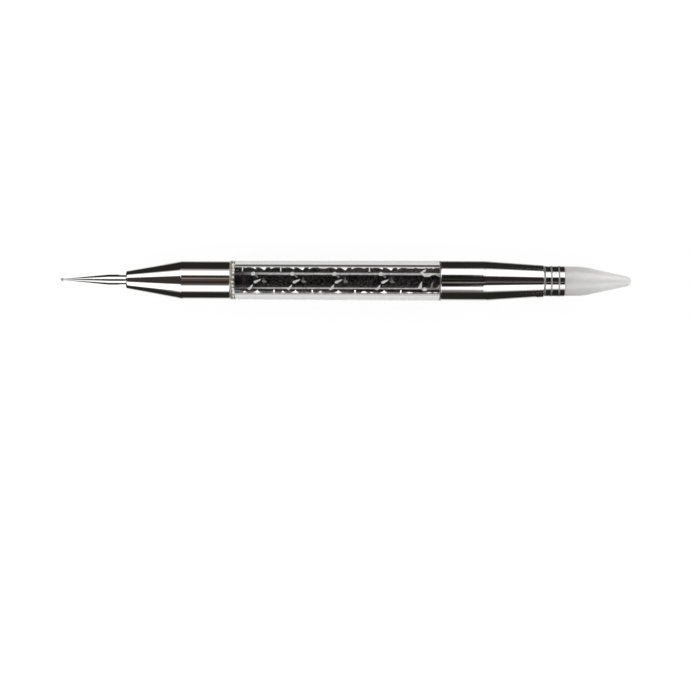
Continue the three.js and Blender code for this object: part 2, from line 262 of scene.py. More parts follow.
# Painted highlights and light on the crystals: near-white finishes, most of them glowing, in place
# of reflections and of light seen through the crystals' cuts
PAINTED_EDGE_HIGHLIGHT = painted_highlight_finish(
    "painted_edge_highlight", (0.55, 0.54, 0.545), (1.0, 0.99, 0.99), 0.45, 0.0, 0.09, dim_at_front=True)
PAINTED_LIGHT_SKIRT = painted_highlight_finish(
    "painted_light_lower_edge", (0.25, 0.245, 0.24), (1.0, 0.99, 0.98), 0.45, 0.0, 0.04, spread=0.07)
PAINTED_HIGHLIGHT_BRIGHT = painted_highlight_finish("painted_highlight_cut", (0.8, 0.79, 0.8), (1.0, 0.99, 0.99), 0.4, 0.1, 0.14)
PAINTED_HIGHLIGHT_DIM = painted_highlight_finish("painted_highlight_cut_dim", (0.3, 0.29, 0.31), (0.5, 0.49, 0.5), 0.4, 0.2)
PAINTED_LIGHT_NOTCH = painted_highlight_finish("painted_light_notch", (0.85, 0.85, 0.84), (1.0, 1.0, 0.99), 0.4, 0.0, 0.42)
PAINTED_HIGHLIGHT_DARK = painted_highlight_finish("painted_highlight_cut_dark", (0.1, 0.098, 0.1), (0.23, 0.225, 0.23), 0.4, 0.2)
RESIN = cast_resin()
STOPPER_PLASTIC = plain_plastic("stopper_plastic", (0.7, 0.7, 0.68), (0.78, 0.78, 0.76))
GREY_PLASTIC = plain_plastic(
    "grey_ring_plastic", (0.06, 0.06, 0.058), (0.12, 0.12, 0.117), 0.18, 2.5)
SILICONE = milky_silicone()


# Turned pieces

# The most of a straight run that a fillet at its end may take
FILLET_SHARE = 0.49
SHARP_ANGLE = math.radians(35)
TOUCHING = 1e-6
# Between pieces that are glued or pressed together
GLUE_GAP = 0.05
EDGE_FILLET = 0.15
# Radius of the ferrules' sockets, and of the hole in both joint rings
SOCKET_RADIUS = 4.8
# How much later than in the CAD the rear ring begins; the tube is longer by the same
RING_SET_BACK = 0.2


def rounded(corners, steps=5):
    """A profile from (station, radius, fillet) corners, with each fillet drawn as an arc."""
    profile = []
    for i, (x, r, fillet) in enumerate(corners):
        here = Vector((x, r))
        if not fillet or i in (0, len(corners) - 1):
            profile.append(here)
            continue
        back = Vector(corners[i - 1][:2]) - here
        ahead = Vector(corners[i + 1][:2]) - here
        half = back.angle(ahead) / 2
        room = FILLET_SHARE * min(back.length, ahead.length)
        reach = min(fillet / math.tan(half), room)
        fillet = reach * math.tan(half)
        inward = (back.normalized() + ahead.normalized()).normalized()
        centre = here + inward * (fillet / math.sin(half))
        first = here + back.normalized() * reach - centre
        last = here + ahead.normalized() * reach - centre
        turn = first.angle_signed(last)
        for k in range(steps + 1):
            profile.append(centre + Matrix.Rotation(-turn * k / steps, 2) @ first)
    return profile


def supported(profile):
    """Adds a point close to each end of every long straight run, which keeps its shading straight
    up to its ends."""
    gap, shortest_run = 0.05, 0.4
    points = [profile[0]]
    for a, b in zip(profile, profile[1:]):
        run = b - a
        if run.length > shortest_run:
            points += [a + run.normalized() * gap, b - run.normalized() * gap]
        points.append(b)
    return points


def turned(name, profile, metal, segments=160, wobble=None):
    """Revolves a (station, radius) profile about the tool's axis. It closes on itself or ends on
    the axis. wobble(station, radius, angle) gives a new radius, for surfaces that aren't round."""
    mesh = bpy.data.meshes.new(name)
    build = bmesh.new()
    closed = (profile[0] - profile[-1]).length < TOUCHING
    profile = supported(profile)
    rings = []
    for x, r in profile[:-1] if closed else profile:
        if r < TOUCHING:
            rings.append([build.verts.new((x * MM, 0, AXIS_HEIGHT * MM))])
            continue
        ring = []
        for k in range(segments):
            angle = 2 * math.pi * k / segments
            radius = wobble(x, r, angle) if wobble else r
            y, z = radius * math.cos(angle), AXIS_HEIGHT + radius * math.sin(angle)
            ring.append(build.verts.new((x * MM, y * MM, z * MM)))
        rings.append(ring)
    pairs = list(zip(rings, rings[1:]))
    if closed:
        pairs.append((rings[-1], rings[0]))
    for a, b in pairs:
        for k in range(segments):
            n = (k + 1) % segments
            if len(a) == 1:
                build.faces.new((a[0], b[n], b[k]))
            elif len(b) == 1:
                build.faces.new((a[k], a[n], b[0]))
            else:
                build.faces.new((a[k], a[n], b[n], b[k]))
    bmesh.ops.recalc_face_normals(build, faces=build.faces)
    build.to_mesh(mesh)
    build.free()
    mesh.shade_smooth()
    mesh.set_sharp_from_angle(angle=SHARP_ANGLE)
    mesh.materials.append(metal)
    return added(name, mesh)


def dress(piece, body, node):
    """The piece rides on a body and stands for a CAD node, which it hides."""
    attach(piece, body)
    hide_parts(node)


def needle():
    """A duller ball on a thin neck, a long taper, and the shank with its chamfered tang."""
    ball_radius, neck_radius, shank_radius = 0.4, 0.225, radius_of("dotting_needle")
    neck_length, taper_end, chamfer = 1.4, 13.4, 0.4
    neck_fillet, shank_fillet, ball_steps = 1.5, 6, 14
    start, end = span("dotting_needle")
    leave = math.pi - math.asin(neck_radius / ball_radius)
    profile = []
    for k in range(ball_steps + 1):
        angle = leave * k / ball_steps
        along = start + ball_radius - ball_radius * math.cos(angle)
        profile.append(Vector((along, ball_radius * math.sin(angle))))
    profile += rounded([
        (profile[-1].x, profile[-1].y, 0),
        (start + neck_length, neck_radius, neck_fillet),
        (start + taper_end, shank_radius, shank_fillet),
        (end - chamfer, shank_radius, 0),
        (end, shank_radius - chamfer, 0),
        (end, 0, 0),
    ])[1:]
    piece = turned("needle_polished", profile, STEEL, segments=96)
    piece.data.materials.append(BALL_STEEL)
    for face in piece.data.polygons:
        if face.center.x < (start + 2 * ball_radius) * MM:
            face.material_index = 1
    dress(piece, "handle", "dotting_needle")


def front_ferrule():
    """Cone and collar, bored for the tang and for the tube's spigot."""
    nose, rim = span("front_ferrule")
    collar_radius = radius_of("front_ferrule")
    bore_radius = radius_of("dotting_needle") + GLUE_GAP
    nose_radius, nose_round, cone_length, cone_fillet = 2.55, 0.6, 15.5, 0.8
    tang_bore_length, relief_start, relief_radius, socket_depth = 9.5, 11.5, 3.0, 7.9
    piece = turned("front_ferrule_chromed", rounded([
        (nose, bore_radius, 0),
        (nose, nose_radius, nose_round),
        (nose + cone_length, collar_radius, cone_fillet),
        (rim, collar_radius, EDGE_FILLET),
        (rim, SOCKET_RADIUS, 0),
        (rim - socket_depth, SOCKET_RADIUS, 0),
        (rim - socket_depth, relief_radius, 0),
        (nose + relief_start, relief_radius, 0),
        (nose + tang_bore_length, bore_radius, 0),
        (nose, bore_radius, 0),
    ]), CHROME)
    dress(piece, "handle", "front_ferrule")


# Lumps of cream resin on the front ring: angle from straight up in degrees, + towards +Y, half
# length in mm, place across the ring from 0 to 1 and half width in mm
RING_LUMPS = [
    (71, 0.5, 0.7, 0.4), (49, 1.3, 0.72, 0.42), (30.7, 0.64, 0.72, 0.42), (21, 0.48, 0.68, 0.42),
    (7.9, 0.42, 0.62, 0.38), (-6.7, 0.36, 0.5, 0.48), (-18, 0.4, 0.6, 0.4),
    (-28.3, 0.44, 0.66, 0.42), (-41, 0.95, 0.78, 0.5), (-57, 0.55, 0.72, 0.45),
    (-71, 0.5, 0.7, 0.4),
]
# The lumps that the photograph doesn't show: how many, and where they begin and how far they go,
# in degrees from +Y
HIDDEN_LUMPS, HIDDEN_START, HIDDEN_SWEEP = 20, 175, 190


def lumps(start, end):
    """Place along the tool, angle from +Y, half length and half width of each lump. The hidden
    ones vary by noise, the same in each run."""
    beads = [(90 - angle, *size) for angle, *size in RING_LUMPS]
    for k in range(HIDDEN_LUMPS):
        drift, size, place = (noise.noise(Vector((k * 0.77, row, 0))) for row in (3.1, 8.2, 5.3))
        angle = HIDDEN_START + (k + 0.6 * drift) * HIDDEN_SWEEP / (HIDDEN_LUMPS - 1)
        beads.append((angle, 0.62 + 0.3 * size, 0.62 + 0.2 * place, 0.48))
    return [
        (start + (end - start) * place, math.radians(angle), length, width)
        for angle, length, place, width in beads
    ]


def front_joint_ring():
    """A crowned ring with lumps. It keeps their height in its lump attribute, for its material."""
    start, end = span("front_joint_ring")
    outer = radius_of("front_joint_ring")
    crown, crown_steps, lump_height, lumpy_from = 0.15, 14, 0.1, 5
    front_level, front_reach = 0.3, 0.6
    middle, half = (start + end) / 2, (end - start) / 2
    profile = [Vector((start, SOCKET_RADIUS))]
    for k in range(crown_steps + 1):
        angle = math.pi * k / crown_steps
        radius = outer - crown - lump_height + crown * math.sin(angle)
        profile.append(Vector((middle - half * math.cos(angle), radius)))
    profile += [Vector((end, SOCKET_RADIUS)), Vector((start, SOCKET_RADIUS))]
    beads = lumps(start, end)

    def lump(x, angle):
        nearest = 0.0
        for bead_x, bead_angle, length, width in beads:
            across = (angle - bead_angle + math.pi) % (2 * math.pi) - math.pi
            reach = math.hypot((x - bead_x) / width, across * outer / length)
            nearest = max(nearest, 1 - reach ** 3)
        return nearest

    def lumpy(x, r, angle):
        return r + lump_height * math.sqrt(lump(x, angle)) if r > lumpy_from else r

    piece = turned("front_ring_resin", profile, RESIN, segments=400, wobble=lumpy)
    heights = piece.data.attributes.new("lump", "FLOAT", "POINT")
    for vertex, height in zip(piece.data.vertices, heights.data):
        x, y, z = vertex.co / MM
        margin = front_level * (1 - (x - start) / (front_reach * (end - start)))
        height.value = max(margin, lump(x, math.atan2(z - AXIS_HEIGHT, y)))
    dress(piece, "handle", "front_joint_ring")


def handle_tube():
    """Clear tube that gets a little thicker to the rear, with a spigot at each end."""
    bore_start, bore_end = span("handle_tube")
    tube_start = span("front_joint_ring")[1]
    tube_end = span("rear_joint_ring")[0] + RING_SET_BACK - GLUE_GAP
    bore_radius = radius_of("front_stopper") + GLUE_GAP
    spigot_radius, front_radius, rear_radius, rim_fillet = 4.75, 5.425, 5.6, 0.12
    piece = turned("tube_clear", rounded([
        (bore_start, bore_radius, 0),
        (bore_start, spigot_radius, 0),
        (tube_start, spigot_radius, 0),
        (tube_start, front_radius, rim_fillet),
        (tube_end, rear_radius, rim_fillet),
        (tube_end, spigot_radius, 0),
        (bore_end, spigot_radius, 0),
        (bore_end, bore_radius, 0),
        (bore_start, bore_radius, 0),
    ]), ACRYLIC, segments=256)
    dress(piece, "handle", "handle_tube")


def rear_joint_ring():
    """A thin ring, a little lower and narrower than in the CAD."""
    set_in, fillet = 0.1, 0.1
    start, end = span("rear_joint_ring")
    start += RING_SET_BACK
    outer = radius_of("rear_joint_ring") - set_in
    piece = turned("rear_ring_plastic", rounded([
        (start, SOCKET_RADIUS, 0),
        (start, outer, fillet),
        (end, outer, fillet),
        (end, SOCKET_RADIUS, 0),
        (start, SOCKET_RADIUS, 0),
    ]), GREY_PLASTIC)
    dress(piece, "handle", "rear_joint_ring")


def rear_ferrule():
    """Cylinder and taper, bored for the tube's spigot and for the bush."""
    rim, seat = span("rear_ferrule")
    cylinder_radius = radius_of("rear_ferrule")
    cylinder_length, taper_fillet, end_radius, end_fillet = 12.25, 15, 4.55, 0.22
    bush_bore, socket_depth = 3.25, 8.8
    piece = turned("rear_ferrule_chromed", rounded([
        (rim, SOCKET_RADIUS, 0),
        (rim, cylinder_radius, EDGE_FILLET),
        (rim + cylinder_length, cylinder_radius, taper_fillet),
        (seat, end_radius, end_fillet),
        (seat, bush_bore, 0),
        (rim + socket_depth, bush_bore, 0),
        (rim + socket_depth, SOCKET_RADIUS, 0),
        (rim, SOCKET_RADIUS, 0),
    ]), CHROME)
    dress(piece, "handle", "rear_ferrule")


THREAD_PITCH = 0.7


def stem_bush():
    """The bush has grooves cut outward from its hole, as its thread."""
    start, end = span("stem_bush")
    outer, hole, groove, chamfer, fillet = radius_of("stem_bush"), 2.05, 0.28, 0.3, 0.25
    profile = rounded([
        (start, hole, 0), (start, outer, fillet), (end, outer, 0), (end, hole + chamfer, 0),
    ])
    station = end - chamfer
    while station - THREAD_PITCH > start + chamfer:
        profile.append(Vector((station, hole)))
        profile.append(Vector((station - THREAD_PITCH / 2, hole + groove)))
        station -= THREAD_PITCH
    profile += [Vector((station, hole)), Vector((start, hole))]
    piece = turned("bush_turned", profile, BRASS, segments=96)
    dress(piece, "handle", "stem_bush")


def tip_collar():
    """Stem with a real thread, three crimp rings with satin grooves, and the soft tip's cup."""
    stem_end, rim = span("tip_collar")
    seat = span("rear_ferrule")[1]
    ring_radius = radius_of("tip_collar")
    stem_radius, relief_radius, chamfer, relief_width = 2.0, 1.6, 0.5, 0.8
    thread_end, thread_depth, points_per_pitch = seat - relief_width, 0.32, 10
    seat_step, seat_slope = 0.22, 0.45
    grooves, groove_half, groove_depth = [seat + 2.08, seat + 4.22], 0.22, 0.09
    cup_radius, cup_depth = 3.65, 4.4
    corners = [
        (thread_end, relief_radius, 0),
        (seat, relief_radius, 0.1),
        (seat, ring_radius - seat_step, 0.03),
        (seat + seat_slope, ring_radius, 0.08),
    ]
    for middle in grooves:
        corners += [
            (middle - groove_half, ring_radius, 0.04),
            (middle, ring_radius - groove_depth, 0.02),
            (middle + groove_half, ring_radius, 0.04),
        ]
    corners += [
        (rim, ring_radius, 0.12),
        (rim, cup_radius, 0.05),
        (rim - cup_depth, cup_radius, 0),
        (rim - cup_depth, 0, 0),
    ]
    profile = [Vector((stem_end, 0)), Vector((stem_end, stem_radius - chamfer))]
    steps = int((thread_end - stem_end) / THREAD_PITCH * points_per_pitch)
    for k in range(1, steps + 1):
        profile.append(Vector((stem_end + (thread_end - stem_end) * k / steps, stem_radius)))
    profile += rounded(corners)

    def thread(x, r, angle):
        if x > thread_end or x <= stem_end:
            return r
        phase = (x / THREAD_PITCH - angle / (2 * math.pi)) % 1
        cut = thread_depth * abs(2 * phase - 1)
        lead_in = max(0.0, chamfer - (x - stem_end))
        lead_out = max(0.0, (stem_radius - relief_radius) - (thread_end - x))
        return min(stem_radius - cut, stem_radius - lead_in, stem_radius - lead_out)

    piece = turned("tip_collar_chromed", profile, CHROME, segments=128, wobble=thread)
    piece.data.materials.append(GROOVE_METAL)
    for face in piece.data.polygons:
        x = face.center.x / MM
        in_groove = any(abs(x - middle) < groove_half for middle in grooves)
        if in_groove or seat < x < seat + seat_slope:
            face.material_index = 1
    dress(piece, "tip", "tip_collar")


def soft_tip():
    """A short barrel and a cone with a round end, slightly uneven, and the root in the cup."""
    root_start, end = span("soft_tip")
    base = span("tip_collar")[1]
    base_radius, shoulder_radius, barrel, end_radius = 4.15, 4.075, 5.3, 1.45
    root_radius, root_fillet, base_fillet, shoulder_fillet = 3.6, 0.3, 0.12, 14
    arc_steps, end_steps = 12, 14
    unevenness, waves_along, waves_across, smooth_inside = 0.035, 0.35, 0.5, 0.3
    centre = end - end_radius
    shoulder = Vector((base + barrel, shoulder_radius))
    away = Vector((centre, 0)) - shoulder
    cone = math.atan2(shoulder_radius, away.x) - math.asin(end_radius / away.length)
    touch = Vector((centre + end_radius * math.sin(cone), end_radius * math.cos(cone)))
    profile = rounded([
        (root_start, 0, 0),
        (root_start, root_radius, root_fillet),
        (base, root_radius, 0),
        (base, base_radius, base_fillet),
        (shoulder.x, shoulder.y, shoulder_fillet),
        (touch.x, touch.y, 0),
    ], arc_steps)
    for k in range(1, end_steps + 1):
        angle = cone + (math.pi / 2 - cone) * k / end_steps
        along, out = centre + end_radius * math.sin(angle), end_radius * math.cos(angle)
        profile.append(Vector((along, out)))
    profile[-1].y = 0

    def moulded(x, r, angle):
        if x < base or r < smooth_inside:
            return r
        across, up = math.cos(angle) * r * waves_across, math.sin(angle) * r * waves_across
        return r + unevenness * noise.noise(Vector((x * waves_along, across, up)))

    piece = turned("soft_tip_silicone", profile, SILICONE, segments=128, wobble=moulded)
    dress(piece, "tip", "soft_tip")


# Crystals

CRYSTAL_COUNT = 6
CRYSTAL_ROLL = math.radians(4.4)
# Half widths of the top face and of the waist, the waist on the +Y side, and the half height
TOP_HALF, WAIST_HALF, UPPER_WAIST, HEIGHT_HALF = 1.9, 3.45, 3.66, 3.1
# Height at which the sides reach the waist
WAIST_LEVEL = 0.08
# The strips of painted highlight along the top face's edges on the +Y and -Y sides: inner and outer
# y
STRIP_RIGHT, STRIP_LEFT = (1.6, 2.08), (1.66, 2.0)
# The -Y side's skirt, in painted light: where it begins, how far out its lip is, and the lip's
# height
SKIRT_INSIDE, SKIRT_OUTSIDE, SKIRT_LIP = 3.2, 3.68, 0.9
# Heights between which the side cuts leave a thin web, which glows white as painted light
WEB_TOP, WEB_BOTTOM = -0.1, -0.3
# How far a cutting shape reaches up and down, and past the end of a crystal where a cut runs out
CUT_HEIGHT, CUT_OVERRUN = 5, 0.5
# Finishes of a crystal's faces; all but BLACK and SIDE are painted highlights and painted light
BLACK, SIDE, EDGE, SKIRT, DIM, BRIGHT, DARK, WHITE = range(8)
FINISHES = (
    CRYSTAL, CRYSTAL_SIDE, PAINTED_EDGE_HIGHLIGHT, PAINTED_LIGHT_SKIRT, PAINTED_HIGHLIGHT_DIM, PAINTED_HIGHLIGHT_BRIGHT, PAINTED_HIGHLIGHT_DARK, PAINTED_LIGHT_NOTCH,
)

# Cuts in the side edges: side, mouth start and end, root start and end, depth
SIDE_CUTS = [
    (1, 0.0, 0.26, 0.0, 0.25, 1.26),
    (1, 0.5, 1.6, 0.85, 1.2, 0.2),
    (1, 2.5, 4.02, 3.84, 3.96, 0.64),
    (1, 4.82, 7.06, 6.26, 6.42, 0.9),
    (1, 8.05, 9.3, 8.05, 8.25, 0.55),
    (-1, 0.25, 1.2, 0.65, 0.75, 0.7),
    (-1, 3.3, 5.2, 3.95, 4.75, 0.5),
    (-1, 3.95, 4.75, 4.3, 4.4, 1.1),
    (-1, 8.88, 9.22, 8.88, 9.22, 1.1),
]
# The fourth crystal has a wide shallow cut at its front end instead of the slot, and no arch there
FOURTH_CUTS = [(1, 0.0, 2.2, 0.0, 0.9, 0.4)] + SIDE_CUTS[2:5] + SIDE_CUTS[6:]
# How much further along some crystals have their cuts
SIDE_SHIFTS = {2: -0.12, 3: -0.12, 4: 0.25, 5: -0.15}
# Arched cuts near a crystal's rear end, measured back from that end: crystal, then as above
REAR_CUTS = {
    3: [(-1, 0.9, -0.5, 0.4, -0.5, 0.7), (1, 1.1, -0.5, 0.4, -0.5, 0.32)],
    4: [(-1, 2.16, 0.48, 1.7, 0.95, 0.6), (1, 2.16, 0.48, 1.8, 0.9, 0.32)],
    5: [(-1, 2.94, 0.98, 2.4, 1.6, 0.3), (1, 3.0, 0.4, 2.5, 0.8, 0.28)],
}
LAST_CUTS = [
    (1, 0.0, 2.6, 0.3, 2.3, 0.29),
    (1, 2.75, 3.9, 2.9, 3.7, 0.25),
    (1, 4.2, 5.2, 4.3, 4.4, 0.42),
    (-1, 2.69, 4.09, 3.28, 3.4, 0.28),
    (-1, 4.65, 5.63, 5.2, 5.3, 0.28),
]
# Chips in the top face, painted highlights: finish, then (station, y, depth) corners
TOP_CHIPS = [
    (BRIGHT, [(2.62, 1.95, 0.08), (2.9, 1.37, 0.12), (3.74, 1.42, 0.12), (3.93, 1.81, 0.1),
        (3.88, 2.14, 0.08), (3.32, 2.33, 0.08)]),
    (DIM, [(3.7, 1.46, 0.12), (4.44, 0.82, 0.1), (4.86, 0.9, 0.06), (4.58, 1.29, 0.06),
        (3.9, 1.79, 0.08)]),
    (BRIGHT, [(3.4, -0.19, 0.2), (3.54, -0.58, 0.28), (4.02, -0.66, 0.28), (5.28, 0.09, 0.12),
        (5.56, 0.46, 0.05), (4.86, 0.35, 0.05), (3.74, 0.04, 0.08)]),
    (DIM, [(5.75, 0.07, 0.1), (6.12, -0.53, 0.18), (6.59, -0.53, 0.18), (7.24, -0.32, 0.1),
        (6.68, 0.33, 0.08)]),
    (DARK, [(5.77, 0.1, 0.1), (6.66, 0.36, 0.1), (6.34, 1.18, 0.05)]),
    (BRIGHT, [(1.64, -1.93, 0.08), (2.2, -2.48, 0.1), (2.67, -2.14, 0.12), (3.09, -1.49, 0.15),
        (3.29, -0.84, 0.05), (2.9, -1.1, 0.08), (2.34, -1.6, 0.08)]),
]
# How much further along some crystals have their chips
CHIP_SHIFTS = {2: -0.2, 3: 0.05, 4: 0.2, 5: -0.05}
FIRST_CHIPS = [
    (DIM, [(6.15, 2.52, 0.06), (6.9, 2.58, 0.06), (6.85, 2.82, 0.06), (6.2, 2.76, 0.06)]),
    (SKIRT, [(5.9, -2.6, 0.06), (5.9, -3.1, 0.06), (7.7, -3.1, 0.06), (7.5, -2.8, 0.06),
        (6.8, -2.6, 0.06)]),
]
LAST_CHIPS = [
    (BRIGHT, [(0.17, -1.75, 0.1), (1.29, -1.75, 0.18), (1.4, 0.07, 0.05), (0.81, -0.66, 0.08)]),
    (DIM, [(3.53, -1.75, 0.1), (4.23, -1.8, 0.15), (4.59, -0.01, 0.05), (4.0, -0.45, 0.08)]),
    (BRIGHT, [(0.87, 2.25, 0.06), (1.29, 1.88, 0.1), (2.27, 2.46, 0.1), (2.63, 3.08, 0.05),
        (2.13, 2.98, 0.05)]),
    (BRIGHT, [(0.95, 2.05, 0.06), (1.99, 1.16, 0.12), (3.47, 1.16, 0.12), (4.09, 1.55, 0.1),
        (4.93, 1.73, 0.05), (4.93, 2.09, 0.05)]),
    (EDGE, [(4.9, 1.74, 0.06), (6.5, 0.95, 0.1), (6.6, 1.25, 0.1), (4.95, 2.08, 0.06)]),
    (BRIGHT, [(1.15, -2.01, 0.06), (1.99, -2.79, 0.08), (2.83, -2.4, 0.1), (2.69, -1.88, 0.1),
        (2.13, -1.49, 0.05)]),
    (DIM, [(2.65, -1.6, 0.05), (2.8, -2.3, 0.08), (5.4, -2.2, 0.08), (5.3, -1.65, 0.05)]),
    (EDGE, [(5.49, -1.83, 0.06), (6.47, -2.3, 0.1), (6.55, -0.9, 0.05), (6.33, -0.71, 0.05)]),
]


def surface_height(y):
    """Height of a crystal's upper surface above its middle."""
    return HEIGHT_HALF * min(1.0, (WAIST_HALF - abs(y)) / (WAIST_HALF - TOP_HALF))


def prism(build, outline, low, high, painted_finish):
    """A closed prism over (x, y) corners, from one height or a list of heights up to another,
    with one finish on its faces, a painted highlight or painted light."""
    lows = low if isinstance(low, list) else [low] * len(outline)
    bottom = [build.verts.new((x, y, z)) for (x, y), z in zip(outline, lows)]
    top = [build.verts.new((x, y, high)) for x, y in outline]
    count = len(outline)
    faces = [build.faces.new(top), build.faces.new(bottom[::-1])]
    for k in range(count):
        n = (k + 1) % count
        faces.append(build.faces.new((bottom[k], bottom[n], top[n], top[k])))
    for face in faces:
        face.material_index = painted_finish


def in_place(name, build, start):
    """The mesh of a crystal or its cuts, moved from the crystal's own millimetres to its place in
    the tube, in metres."""
    bmesh.ops.recalc_face_normals(build, faces=build.faces)
    place = Matrix.Translation((start, 0, AXIS_HEIGHT)) @ Matrix.Rotation(CRYSTAL_ROLL, 4, "X")
    bmesh.ops.transform(build, matrix=place, verts=build.verts)
    bmesh.ops.scale(build, vec=(MM, MM, MM), verts=build.verts)
    mesh = bpy.data.meshes.new(name)
    build.to_mesh(mesh)
    build.free()
    return mesh


def side_cuts(index, length):
    """The side cuts of one crystal: the common ones that fit its length, and its own."""
    if index == CRYSTAL_COUNT:
        return LAST_CUTS
    end_margin, first_crystal_limit, shifted_from = 0.5, 4.5, 2.3
    shift = SIDE_SHIFTS.get(index, 0)
    cuts = []
    for side, *stations, depth in FOURTH_CUTS if index == 4 else SIDE_CUTS:
        if index == 5 and side < 0 and stations[0] < 1:
            depth /= 2
        limit = first_crystal_limit if index == 1 else length - end_margin
        if stations[1] < limit:
            stations = [x + shift if x > shifted_from else x for x in stations]
            cuts.append((side, *stations, depth))
    for side, a, b, c, d, depth in REAR_CUTS.get(index, []):
        cuts.append((side, length - a, length - b, length - c, length - d, depth))
    return cuts


def cutters(index, length, start):
    """All the cuts of one crystal as one mesh."""
    build = bmesh.new()
    for side, mouth_start, mouth_end, root_start, root_end, depth in side_cuts(index, length):
        # On the -Y side a cut stops short of the skirt's lip
        edge, reach = (UPPER_WAIST, 1) if side > 0 else (WAIST_HALF, 0.02)
        beyond = edge + reach
        outline = [
            (root_start, edge - depth), (root_end, edge - depth), (mouth_end, edge),
            (mouth_end, beyond), (mouth_start, beyond), (mouth_start, edge),
        ]
        outline = [(x - (CUT_OVERRUN if x == 0 else 0), side * y) for x, y in outline]
        # The cut faces take the glowing white finish, painted light
        for low, high in ((WEB_TOP, CUT_HEIGHT), (-CUT_HEIGHT, WEB_BOTTOM)):
            prism(build, outline if side > 0 else outline[::-1], low, high, WHITE)
    chips = {1: FIRST_CHIPS, CRYSTAL_COUNT: LAST_CHIPS}.get(index, TOP_CHIPS)
    shift = CHIP_SHIFTS.get(index, 0)
    # The chips' faces take finishes of painted highlight
    for painted_finish, corners in chips:
        outline = [(x + shift, y) for x, y, _ in corners]
        floor = [surface_height(y) - depth for _, y, depth in corners]
        prism(build, outline, floor, CUT_HEIGHT, painted_finish)
    bmesh.ops.triangulate(build, faces=build.faces)
    return in_place("cuts", build, start)


def mirrored(corners, y_sign, z_sign):
    """Section corners mirrored and in reverse order. Each has the finish of the face after it."""
    finishes = [finish for _, _, finish in reversed(corners[:-1])] + [BLACK]
    return [
        (y_sign * y, z_sign * z, finish)
        for (y, z, _), finish in zip(reversed(corners), finishes)
    ]


def half_section(strip, side_corners):
    """One side of a crystal's section from top to bottom, from its strip of painted highlight on.
    """
    inner, outer = strip
    quarter = [
        (inner, HEIGHT_HALF, EDGE), (TOP_HALF, HEIGHT_HALF, EDGE),
        (outer, surface_height(outer), SIDE), *side_corners,
    ]
    return quarter + mirrored(quarter, 1, -1)


def crystal_bar(name, length, start):
    """A bar of long hexagonal section with painted highlights along its edges, a skirt in painted
    light on its -Y side and bevelled ends, which reach a little past those of the solid."""
    bevel, reach = 0.06, 0.045
    waist = WAIST_HALF - WAIST_LEVEL * (WAIST_HALF - TOP_HALF) / HEIGHT_HALF
    right = half_section(STRIP_RIGHT, [(UPPER_WAIST, WAIST_LEVEL, SIDE)])
    left = half_section(STRIP_LEFT, [
        (SKIRT_INSIDE, surface_height(SKIRT_INSIDE), SKIRT), (waist, WAIST_LEVEL, SKIRT),
        (SKIRT_OUTSIDE, SKIRT_LIP, SKIRT),
    ])
    section = right + mirrored(left, -1, 1)
    front, rear = -reach, length + reach
    build = bmesh.new()
    rings = []
    for x, shrink in ((front, bevel), (front + bevel, 0), (rear - bevel, 0), (rear, bevel)):
        scale_y, scale_z = 1 - shrink / WAIST_HALF, 1 - shrink / HEIGHT_HALF
        rings.append([build.verts.new((x, y * scale_y, z * scale_z)) for y, z, _ in section])
    count = len(section)
    for a, b in zip(rings, rings[1:]):
        for k in range(count):
            n = (k + 1) % count
            face = build.faces.new((a[k], b[k], b[n], a[n]))
            face.material_index = section[k][2]
    build.faces.new(rings[0])
    build.faces.new(rings[-1][::-1])
    return added(name, in_place(name, build, start))


def crystal(index):
    """One crystal: its bar with the cuts taken out and its sharp edges broken."""
    edge_bevel, sharper_than = 0.03, math.radians(25)
    node = f"crystal_{index}"
    start, end = span(node)
    length = end - start
    bar = crystal_bar(f"crystal_cut_{index}", length, start)
    knife = added("knife", cutters(index, length, start))
    for finish in FINISHES:
        bar.data.materials.append(finish)
        knife.data.materials.append(finish)
    cut = bar.modifiers.new("cut", "BOOLEAN")
    cut.operation = "DIFFERENCE"
    cut.solver = "EXACT"
    cut.use_self = True
    cut.object = knife
    edge = bar.modifiers.new("edge", "BEVEL")
    edge.width = edge_bevel * MM
    edge.segments = 2
    edge.limit_method = "ANGLE"
    edge.angle_limit = sharper_than
    view = bpy.context.evaluated_depsgraph_get()
    bar.data = bpy.data.meshes.new_from_object(bar.evaluated_get(view))
    bar.modifiers.clear()
    bpy.data.objects.remove(knife)
    dress(bar, "handle", node)


needle()
front_ferrule()
front_joint_ring()
handle_tube()
rear_joint_ring()
rear_ferrule()
stem_bush()
tip_collar()
soft_tip()
for number in range(1, CRYSTAL_COUNT + 1):
    crystal(number)
for stopper in ("front_stopper", "rear_stopper"):
    slots = frame["nodes"][stopper].data.materials
    slots.clear()
    slots.append(STOPPER_PLASTIC)


# Stage

# How far the cards and the softboxes' reflections reach on either side of the tool's middle
STAGE_END = 900
FLOOR_HALF = 3000
# What the floor shows where it is seen, and where it is seen through the clear tube
FLOOR_SEEN, FLOOR_SEEN_THROUGH = 0.9, 0.66
WORLD_LEVEL = 0.45
LAMP_RADIANCE = 1.6
LAMP_DISTANCE = 330
LAMP_END = 480
# The cards bent over the tool: distance, and the angles at which the top and side ones end
CARD_DISTANCE, TOP_CARD_ANGLE, SIDE_CARD_ANGLE = 430, 30, 96
STREAK_DISTANCE = 420
STREAK_COLOUR = (0.25, 0.24, 0.235)
# The cards on the table: their height, and the width of their lighter edge. Those that show
# through the tube, painted shade in its edges, lie lower.
LOW_CARD_LIFT, LOW_CARD_EDGE, SEEN_THROUGH_LIFT = 0.3, 3, 0.2

# Soft lamps: name, angles from straight up at which they begin and end, first and last x
SOFTBOXES = [
    ("lamp_front_left", 28, 69, -LAMP_END, 0),
    ("lamp_front_right", -27, -73, -LAMP_END, 0),
    ("lamp_rear_left", 35, 80, 0, LAMP_END),
    ("lamp_rear_right", -28, -63, 0, LAMP_END),
]
